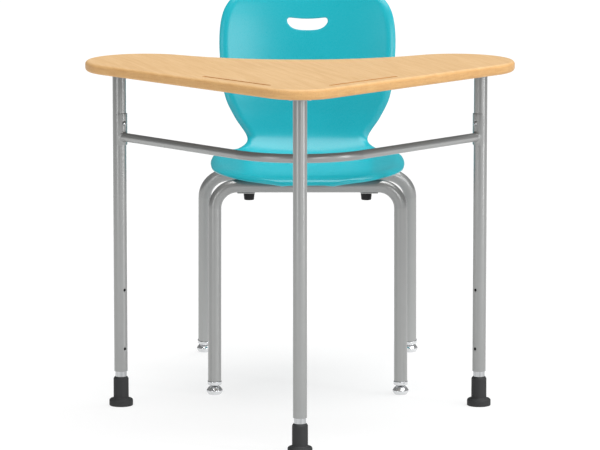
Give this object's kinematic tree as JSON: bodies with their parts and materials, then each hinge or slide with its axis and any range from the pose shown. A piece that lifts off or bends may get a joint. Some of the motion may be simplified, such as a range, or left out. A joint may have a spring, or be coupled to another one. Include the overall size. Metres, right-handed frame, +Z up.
{
  "type": "student desk and chair set",
  "caption": "School desk with a rounded triangular wood-grain top on telescoping tube legs, with a one-piece plastic shell chair on bent tube frames and swivel glides.",
  "frame": {"origin": "on the floor, at the middle of the whole set's box", "axes": "+Z up, +Y from the desk's front leg towards the chair's back, +X to the right of the picture"},
  "size_m": [0.871, 1.1596, 0.8074],
  "materials": {
    "top_laminate": "satin maple-grain laminate",
    "frame_paint": "satin grey powder coat",
    "bright_steel": "bright plated steel",
    "zinc_screw": "zinc plated",
    "boot_rubber": "matt black",
    "shell_plastic": "turquoise moulded plastic",
    "black_plastic": "matt black"
  },
  "bodies": {
    "base": {"boot_left": "boot_rubber", "inner_leg_left": "bright_steel", "boot_right": "boot_rubber", "inner_leg_right": "bright_steel", "boot_front": "boot_rubber", "inner_leg_front": "bright_steel"},
    "desk": {"desk_top": "top_laminate", "upper_leg_left": "frame_paint", "leg_plate_left": "frame_paint", "lock_screw_left_lower": "black_plastic", "lock_screw_left_upper": "black_plastic", "plate_screw_left_1": "zinc_screw", "plate_screw_left_2": "zinc_screw", "plate_screw_left_3": "zinc_screw", "upper_leg_right": "frame_paint", "leg_plate_right": "frame_paint", "lock_screw_right_lower": "black_plastic", "lock_screw_right_upper": "black_plastic", "plate_screw_right_1": "zinc_screw", "plate_screw_right_2": "zinc_screw", "plate_screw_right_3": "zinc_screw", "upper_leg_front": "frame_paint", "leg_plate_front": "frame_paint", "lock_screw_front_lower": "black_plastic", "lock_screw_front_upper": "black_plastic", "plate_screw_front_1": "zinc_screw", "plate_screw_front_2": "zinc_screw", "plate_screw_front_3": "zinc_screw", "stretcher_bar": "frame_paint", "saddle_left": "frame_paint", "saddle_screw_left": "zinc_screw", "saddle_right": "frame_paint", "saddle_screw_right": "zinc_screw"},
    "chair": {"front_leg_frame": "frame_paint", "rear_leg_frame": "frame_paint", "seat_rail_left": "frame_paint", "bumper_left": "black_plastic", "seat_screw_front_left": "zinc_screw", "seat_screw_rear_left": "zinc_screw", "seat_rail_right": "frame_paint", "bumper_right": "black_plastic", "seat_screw_front_right": "zinc_screw", "seat_screw_rear_right": "zinc_screw", "seat_shell": "shell_plastic", "glide_cap_front_left": "bright_steel", "glide_cap_front_right": "bright_steel", "glide_cap_rear_left": "bright_steel", "glide_cap_rear_right": "bright_steel"},
    "stud_front_left": {"glide_stud_front_left": "zinc_screw"},
    "foot_front_left": {"glide_base_front_left": "bright_steel"},
    "stud_front_right": {"glide_stud_front_right": "zinc_screw"},
    "foot_front_right": {"glide_base_front_right": "bright_steel"},
    "stud_rear_left": {"glide_stud_rear_left": "zinc_screw"},
    "foot_rear_left": {"glide_base_rear_left": "bright_steel"},
    "stud_rear_right": {"glide_stud_rear_right": "zinc_screw"},
    "foot_rear_right": {"glide_base_rear_right": "bright_steel"}
  },
  "joints": [
    {"name": "desk_height", "type": "slide", "parent": "base", "child": "desk", "axis": [0, 0, 1], "range_m": [0, 0.15]},
    {"name": "chair_slide", "type": "slide", "parent": "base", "child": "chair", "axis": [0, 1, 0], "range_m": [-0.4, 0.3]},
    {"name": "glide_spin_front_left", "type": "hinge", "parent": "chair", "child": "stud_front_left", "pos_m": [-0.17836, 0.07522, 0.009], "axis": [0.0032, 0, 1], "continuous": true},
    {"name": "glide_tilt_front_left", "type": "hinge", "parent": "stud_front_left", "child": "foot_front_left", "pos_m": [-0.17836, 0.07522, 0.009], "axis": [1, 0, 0], "range_deg": [-8, 8]},
    {"name": "glide_spin_front_right", "type": "hinge", "parent": "chair", "child": "stud_front_right", "pos_m": [0.21036, 0.07522, 0.009], "axis": [-0.0032, 0, 1], "continuous": true},
    {"name": "glide_tilt_front_right", "type": "hinge", "parent": "stud_front_right", "child": "foot_front_right", "pos_m": [0.21036, 0.07522, 0.009], "axis": [1, 0, 0], "range_deg": [-8, 8]},
    {"name": "glide_spin_rear_left", "type": "hinge", "parent": "chair", "child": "stud_rear_left", "pos_m": [-0.20969, 0.56278, 0.009], "axis": [0.0095, -0.2623, 0.9649], "continuous": true},
    {"name": "glide_tilt_rear_left", "type": "hinge", "parent": "stud_rear_left", "child": "foot_rear_left", "pos_m": [-0.20969, 0.56278, 0.009], "axis": [1, 0, 0], "range_deg": [-8, 8]},
    {"name": "glide_spin_rear_right", "type": "hinge", "parent": "chair", "child": "stud_rear_right", "pos_m": [0.24169, 0.56278, 0.009], "axis": [-0.0095, -0.2623, 0.9649], "continuous": true},
    {"name": "glide_tilt_rear_right", "type": "hinge", "parent": "stud_rear_right", "child": "foot_rear_right", "pos_m": [0.24169, 0.56278, 0.009], "axis": [1, 0, 0], "range_deg": [-8, 8]}
  ]
}
